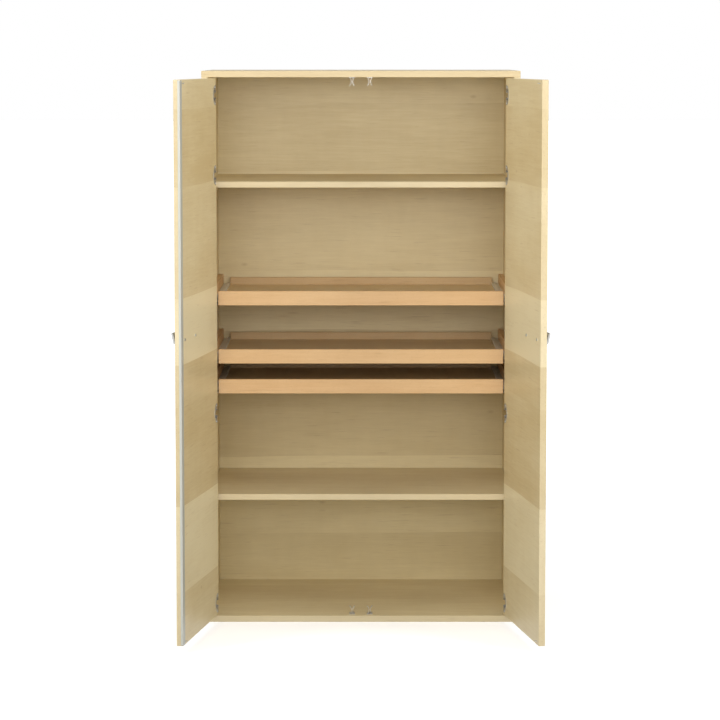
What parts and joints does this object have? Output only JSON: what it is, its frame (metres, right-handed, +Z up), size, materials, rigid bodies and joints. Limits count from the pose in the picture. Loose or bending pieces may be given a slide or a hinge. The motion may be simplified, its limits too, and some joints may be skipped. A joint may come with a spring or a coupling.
{
  "type": "pantry cabinet",
  "caption": "Tall wooden pantry cabinet with inset doors on concealed hinges, shelves on pins and shallow pull-out trays on roller runners.",
  "frame": {"origin": "centre of the underside of the bottom board", "axes": "+Z up, the doors face -Y, +X to the right of a person who faces the doors"},
  "size_m": [1.0894, 1.0186, 1.665],
  "materials": {
    "maple": "pale maple veneer, satin lacquer, grain across the width",
    "maple_back": "pale maple veneer on the thin back, satin lacquer",
    "beech": "steamed beech, satin lacquer",
    "tray_floor": "beech-faced board, matt",
    "zinc_steel": "bright zinc plate",
    "nickel_hinge": "nickel-plated steel",
    "spring_steel": "bright spring steel",
    "handle_metal": "satin nickel",
    "strip_grey": "light grey plastic, satin",
    "runner_grey": "light grey epoxy coat",
    "nylon": "white nylon"
  },
  "bodies": {
    "root": {"side_panel_left": "maple", "side_panel_right": "maple", "top_panel": "maple", "bottom_panel": "maple", "back_panel": "maple_back", "upper_shelf": "maple", "lower_shelf": "maple", "shelf_pins": "zinc_steel", "carcass_screws": "zinc_steel", "back_panel_screws": "zinc_steel", "spacer_strips": "beech", "runner_screws": "zinc_steel", "door_catches": "spring_steel", "fitting_screws": "zinc_steel", "hinge_plates_left": "nickel_hinge", "hinge_plates_right": "nickel_hinge", "hinge_arms_left": "nickel_hinge", "hinge_arms_right": "nickel_hinge", "tray_1_runners": "runner_grey", "tray_2_runners": "runner_grey", "tray_3_runners": "runner_grey"},
    "left_door": {"left_door_panel": "maple", "left_handle": "handle_metal", "left_handle_screws": "zinc_steel", "left_hinge_cups": "nickel_hinge", "left_cup_screws": "zinc_steel", "left_hinge_pins": "zinc_steel", "left_strikers": "spring_steel", "closing_strip": "strip_grey"},
    "right_door": {"right_door_panel": "maple", "right_handle": "handle_metal", "right_handle_screws": "zinc_steel", "right_hinge_cups": "nickel_hinge", "right_cup_screws": "zinc_steel", "right_hinge_pins": "zinc_steel", "right_strikers": "spring_steel"},
    "tray_1": {"tray_1_front": "beech", "tray_1_back": "beech", "tray_1_floor": "tray_floor", "tray_1_side_left": "runner_grey", "tray_1_side_right": "runner_grey", "tray_1_screws": "zinc_steel"},
    "front_rollers_1": {"tray_1_front_rollers": "nylon"},
    "rear_rollers_1": {"tray_1_rear_rollers": "nylon"},
    "tray_2": {"tray_2_front": "beech", "tray_2_back": "beech", "tray_2_floor": "tray_floor", "tray_2_side_left": "runner_grey", "tray_2_side_right": "runner_grey", "tray_2_screws": "zinc_steel"},
    "front_rollers_2": {"tray_2_front_rollers": "nylon"},
    "rear_rollers_2": {"tray_2_rear_rollers": "nylon"},
    "tray_3": {"tray_3_front": "beech", "tray_3_back": "beech", "tray_3_floor": "tray_floor", "tray_3_side_left": "runner_grey", "tray_3_side_right": "runner_grey", "tray_3_screws": "zinc_steel"},
    "front_rollers_3": {"tray_3_front_rollers": "nylon"},
    "rear_rollers_3": {"tray_3_rear_rollers": "nylon"}
  },
  "joints": [
    {"name": "left_door_hinge", "type": "hinge", "parent": "root", "child": "left_door", "pos_m": [-0.4445, -0.2824, 0.8325], "axis": [0, 0, -1], "range_deg": [-100, 10]},
    {"name": "right_door_hinge", "type": "hinge", "parent": "root", "child": "right_door", "pos_m": [0.4445, -0.2824, 0.8325], "axis": [0, 0, 1], "range_deg": [-100, 10]},
    {"name": "tray_1_slide", "type": "slide", "parent": "root", "child": "tray_1", "axis": [0, -1, 0], "range_m": [0, 0.4]},
    {"name": "front_rollers_1_spin", "type": "hinge", "parent": "root", "child": "front_rollers_1", "pos_m": [0, -0.218, 0.974], "axis": [1, 0, 0], "range_deg": [0, 2292]},
    {"name": "rear_rollers_1_spin", "type": "hinge", "parent": "tray_1", "child": "rear_rollers_1", "pos_m": [0, 0.23, 0.9713], "axis": [1, 0, 0], "range_deg": [0, 2413]},
    {"name": "tray_2_slide", "type": "slide", "parent": "root", "child": "tray_2", "axis": [0, -1, 0], "range_m": [0, 0.4]},
    {"name": "front_rollers_2_spin", "type": "hinge", "parent": "root", "child": "front_rollers_2", "pos_m": [0, -0.218, 0.7975], "axis": [1, 0, 0], "range_deg": [0, 2292]},
    {"name": "rear_rollers_2_spin", "type": "hinge", "parent": "tray_2", "child": "rear_rollers_2", "pos_m": [0, 0.23, 0.7948], "axis": [1, 0, 0], "range_deg": [0, 2413]},
    {"name": "tray_3_slide", "type": "slide", "parent": "root", "child": "tray_3", "axis": [0, -1, 0], "range_m": [0, 0.4]},
    {"name": "front_rollers_3_spin", "type": "hinge", "parent": "root", "child": "front_rollers_3", "pos_m": [0, -0.218, 0.7065], "axis": [1, 0, 0], "range_deg": [0, 2292]},
    {"name": "rear_rollers_3_spin", "type": "hinge", "parent": "tray_3", "child": "rear_rollers_3", "pos_m": [0, 0.23, 0.7038], "axis": [1, 0, 0], "range_deg": [0, 2413]}
  ],
  "couplings": [
    {"joint": "front_rollers_1_spin", "follows": "tray_1_slide", "rad_per_m": 100},
    {"joint": "rear_rollers_1_spin", "follows": "tray_1_slide", "rad_per_m": 105.26},
    {"joint": "front_rollers_2_spin", "follows": "tray_2_slide", "rad_per_m": 100},
    {"joint": "rear_rollers_2_spin", "follows": "tray_2_slide", "rad_per_m": 105.26},
    {"joint": "front_rollers_3_spin", "follows": "tray_3_slide", "rad_per_m": 100},
    {"joint": "rear_rollers_3_spin", "follows": "tray_3_slide", "rad_per_m": 105.26}
  ]
}
